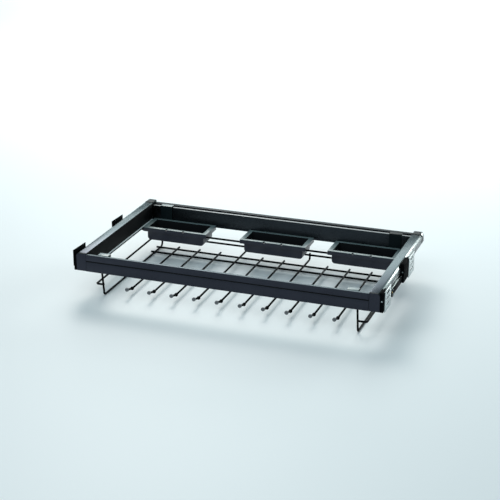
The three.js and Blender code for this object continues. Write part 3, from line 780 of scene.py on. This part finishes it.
OVERRUN = 1 * MM
NOTCH_OFFSET = 26 * MM
NOTCH_HALF = 2.5 * MM
NOTCH_DEPTH = 3.2 * MM
NOTCH_REACH = 7 * MM
TUB_INSET_X = 10 * MM
TUB_INSET_Y = 9 * MM
TUB_TOP_DROP = 0.9 * MM
RIM_SHEET = 1.2 * MM
RIM_TILT = 0.5


def tub_shade_faces(low, high):
    """Tells the inner faces of a tray's tub, which get painted shade."""
    middle = (Vector(low) + Vector(high)) / 2
    reach = (Vector(high) - Vector(low)) / 2

    def inwards(off, share):
        return off * share < -0.5 * abs(off)

    def wanted(centre, normal):
        off = centre - middle
        within = (abs(off.x) < reach.x - TUB_INSET_X and off.y > TUB_INSET_Y - reach.y
                  and low[2] + OVERRUN < centre.z < high[2] - TUB_TOP_DROP)
        return within and (inwards(off.x, normal.x) or inwards(off.y, normal.y) or normal.z > SLANTS)
    return wanted


class TraysOperator(bpy.types.Operator):
    """Rounds the loose trays' rims and tubs, and cuts the notches in their front rims"""
    bl_idname = "rack.trays"
    bl_label = "Trays"

    def execute(self, context):
        for place in ("left", "middle", "right"):
            low, high = node_box(place + "_tray")
            middle = (low[0] + high[0]) / 2
            notches = [((x - NOTCH_HALF, low[1] - OVERRUN, high[2] - NOTCH_DEPTH),
                        (x + NOTCH_HALF, low[1] + NOTCH_REACH, high[2] + OVERRUN))
                       for x in (middle - NOTCH_OFFSET, middle + NOTCH_OFFSET)]
            tray = dressed(place + "_tray", sizes().moulded_edge, 3, slot="tray_plastic", cutters=notches)
            # painted shade inside the tub
            painted(tray, "tub_shade_plastic", tub_shade_faces(low, high))
            # painted highlight on the rim's upward faces
            painted(tray, "sheen_plastic", lambda centre, normal: (
                normal.z > RIM_TILT and centre.z > high[2] - RIM_SHEET))
        return {"FINISHED"}


# Slides, brackets, plates and dampers

SLOT_MARGIN = 3 * MM
SCREW_INSET = 4.2 * MM
SCREW_RISE = 30 * MM
SCREW_HEIGHT = 1.1 * MM
SCREW_SINK = 1.2 * MM
POCKET_HALF = 2.8 * MM
POCKET_DEPTH = 1 * MM
DAMPER_SKIN = 3 * MM
STUD_SINK = 0.4 * MM
STUD_HEIGHT = 1.2 * MM


def slot_shade_walls(low, high):
    """Tells the walls of a wall plate's slots, which are painted black as shade."""
    def wanted(centre, normal):
        return (abs(normal.x) < SQUARE and low[1] + SLOT_MARGIN < centre.y < high[1] - SLOT_MARGIN
                and low[2] + SLOT_MARGIN < centre.z < high[2] - SLOT_MARGIN)
    return wanted


def on_damper_edge(side, outer):
    """Tells the long edges along a damper's outer face, which get a painted highlight."""
    def wanted(centre, normal):
        return side * centre.x > outer - DAMPER_SKIN and abs(normal.z) > 0.25 and abs(normal.y) < SLANTS
    return wanted


def dress_bracket(node, side):
    """A black bracket, which on the right has a screw sunk in a pocket of its front."""
    if side < 0:
        dressed(node, sizes().moulded_edge)
        return
    low, high = node_box(node)
    x, z = high[0] - SCREW_INSET, low[2] + SCREW_RISE
    pocket = ((x - POCKET_HALF, low[1] - OVERRUN, z - POCKET_HALF),
              (x + POCKET_HALF, low[1] + POCKET_DEPTH, z + POCKET_HALF))
    bracket = dressed(node, sizes().moulded_edge, cutters=[pocket])
    join(bracket, stud(sizes().screw, SCREW_HEIGHT, (x, low[1] + SCREW_SINK, z), (0, -1, 0), "screw_steel"))


def dress_damper(node, side):
    """A damper with a painted highlight along its edges and three studs on its outer face."""
    low, high = node_box(node)
    outer = max(side * low[0], side * high[0])
    damper = dressed(node, sizes().damper_edge, slot="damper_plastic")
    # painted highlight on the damper's long edges
    painted(damper, "highlight_aluminium", on_damper_edge(side, outer))
    face = side * (outer - STUD_SINK)
    studs = (
        (5 * MM, (face, low[1] + 6 * MM, high[2] - 9 * MM), "brass_stud"),
        (4 * MM, (face, low[1] + 13 * MM, high[2] - 5 * MM), "screw_steel"),
        # the lower stud wears the grey-green of the painted highlight
        (8 * MM, (face, low[1] + 15.5 * MM, low[2] + 7 * MM), "sheen_plastic"),
    )
    join(damper, *(stud(width, STUD_HEIGHT, place, (side, 0, 0), slot) for width, place, slot in studs))


class SlidesOperator(bpy.types.Operator):
    """Rounds the sheets of the slides, brackets and plates"""
    bl_idname = "rack.slides"
    bl_label = "Slides and brackets"

    def execute(self, context):
        for name, side in SIDES:
            for member in ("cabinet", "middle", "drawer"):
                dressed(f"{name}_{member}_member", sizes().sheet_edge)
            for place in ("front", "rear"):
                dress_bracket(f"{name}_{place}_bracket", side)
                plate = dressed(f"{name}_{place}_plate", sizes().sheet_edge)
                # painted shade: black on the walls of the plate's slots
                painted(plate, "black_plastic", slot_shade_walls(*node_box(f"{name}_{place}_plate")))
            dress_damper(name + "_soft_close_damper", side)
        return {"FINISHED"}


# Stage

FLOOR_SIZE = 24
FLOOR_ROUGHNESS = 0.5
WORLD_COLOUR = (0.68, 0.91, 1, 1)
WORLD_STRENGTH = 0.42
CAMERA_LENS = 101.52
CAMERA_SENSOR = 36
CAMERA_PLACE = (1.2104, -3.4119, 1.4853)
CAMERA_TURN = 19.69
CAMERA_DIP = 20.86
CAMERA_ROLL = 0.18

# Name, place, target, width, height, power and tint of each light
LIGHTS = (
    ("key", (-1.6, 2.2, 2.6), (0, 0, 0), 1.5, 1.5, 45, (1, 0.95, 0.90)),
    ("rear left box", (-0.9, 3.0, 2.1), (0, 0, 0.1), 2.5, 1.8, 46, (0.93, 1, 0.97)),
    ("rear right box", (1.75, 3.2, 0.95), (0.3, 0, 0.1), 1.8, 1.1, 55, (0.95, 1, 0.98)),
    ("backdrop light", (-1.4, 4.4, 1.1), (-1.4, 4.3, 0), 4.4, 1.8, 55, (1, 1, 1)),
    ("front fill", (-0.3, -1.8, 2.0), (-0.2, -0.9, 0), 1.8, 1.0, 10, (0.95, 1, 1)),
)


def area_light(name, location, target, width, height, power, tint):
    data = bpy.data.lights.new(name, "AREA")
    data.shape = "RECTANGLE"
    data.size = width
    data.size_y = height
    data.energy = power
    data.color = tint
    lamp = bpy.data.objects.new(name, data)
    bpy.context.scene.collection.objects.link(lamp)
    lamp.location = location
    lamp.rotation_euler = (Vector(target) - Vector(location)).to_track_quat("-Z", "Y").to_euler()


def turned(degrees, axis):
    return Matrix.Rotation(math.radians(degrees), 4, axis)


class StageOperator(bpy.types.Operator):
    """Sets the floor, the lights and the camera"""
    bl_idname = "rack.stage"
    bl_label = "Stage"

    def execute(self, context):
        scene = bpy.context.scene
        deselect()
        bpy.ops.mesh.primitive_plane_add(size=FLOOR_SIZE, location=(0, 0, 0))
        floor = active()
        floor.name = "floor"
        material = bpy.data.materials.new("floor")
        material.use_nodes = True
        shader = material.node_tree.nodes["Principled BSDF"]
        shader.inputs["Base Color"].default_value = (*colours().floor, 1)
        shader.inputs["Roughness"].default_value = FLOOR_ROUGHNESS
        floor.data.materials.append(material)
        world = bpy.data.worlds.new("studio")
        world.use_nodes = True
        glow = world.node_tree.nodes["Background"]
        glow.inputs["Color"].default_value = WORLD_COLOUR
        glow.inputs["Strength"].default_value = WORLD_STRENGTH
        scene.world = world
        for light in LIGHTS:
            area_light(*light)
        camera_data = bpy.data.cameras.new("camera")
        camera_data.lens = CAMERA_LENS
        camera_data.sensor_width = CAMERA_SENSOR
        camera = bpy.data.objects.new("camera", camera_data)
        scene.collection.objects.link(camera)
        turn = turned(CAMERA_TURN, "Z") @ turned(90 - CAMERA_DIP, "X") @ turned(CAMERA_ROLL, "Z")
        camera.matrix_world = Matrix.Translation(CAMERA_PLACE) @ turn
        scene.camera = camera
        scene.view_settings.view_transform = "Standard"
        return {"FINISHED"}


class RackPanel(bpy.types.Panel):
    """Lists the rack's operators, sizes and colours"""
    bl_idname = "VIEW3D_PT_trouser_rack"
    bl_label = "Trouser rack"
    bl_space_type = "VIEW_3D"
    bl_region_type = "UI"
    bl_category = "Trouser rack"

    def draw(self, context):
        for operator in OPERATORS:
            self.layout.operator(operator.bl_idname)
        for group in (context.scene.rack_sizes, context.scene.rack_colours):
            for name in group.bl_rna.properties.keys():
                if name not in {"rna_type", "name"}:
                    self.layout.prop(group, name)


OPERATORS = (StageOperator, RailsOperator, ClipsOperator, WiresOperator, RodsOperator, TipsOperator,
             TraysOperator, SlidesOperator)
CLASSES = (RackSizes, RackColours, *OPERATORS, RackPanel)


def register():
    for cls in CLASSES:
        bpy.utils.register_class(cls)
    bpy.types.Scene.rack_sizes = bpy.props.PointerProperty(type=RackSizes)
    bpy.types.Scene.rack_colours = bpy.props.PointerProperty(type=RackColours)


def unregister():
    del bpy.types.Scene.rack_colours
    del bpy.types.Scene.rack_sizes
    for cls in reversed(CLASSES):
        bpy.utils.unregister_class(cls)


def main():
    register()
    build_materials()
    bpy.ops.rack.stage()
    bpy.ops.rack.rails()
    bpy.ops.rack.clips()
    bpy.ops.rack.wires()
    bpy.ops.rack.rods()
    bpy.ops.rack.tips()
    bpy.ops.rack.trays()
    bpy.ops.rack.slides()


if __name__ == "__main__":
    main()
